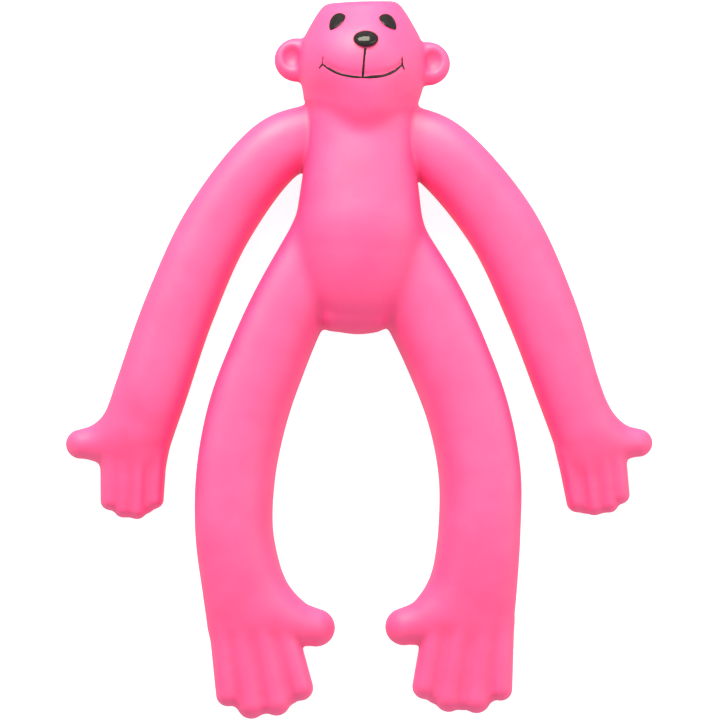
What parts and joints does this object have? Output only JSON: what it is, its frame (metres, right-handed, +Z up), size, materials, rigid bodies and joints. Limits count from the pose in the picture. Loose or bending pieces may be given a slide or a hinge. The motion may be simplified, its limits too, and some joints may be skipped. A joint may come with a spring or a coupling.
{
  "type": "toy monkey",
  "caption": "Soft moulded toy monkey lying on its back, with long arms and legs, round ears and a smiling painted face.",
  "frame": {"origin": "on the surface the toy lies on, under the middle of its outline as seen from above", "axes": "+Y from the feet to the head, +Z up and out of the face and belly, +X to the right of the picture of the toy seen from above"},
  "size_m": [0.1883, 0.2304, 0.0377],
  "materials": {
    "latex": "satin"
  },
  "bodies": {
    "root": {"monkey": "latex"}
  },
  "joints": []
}
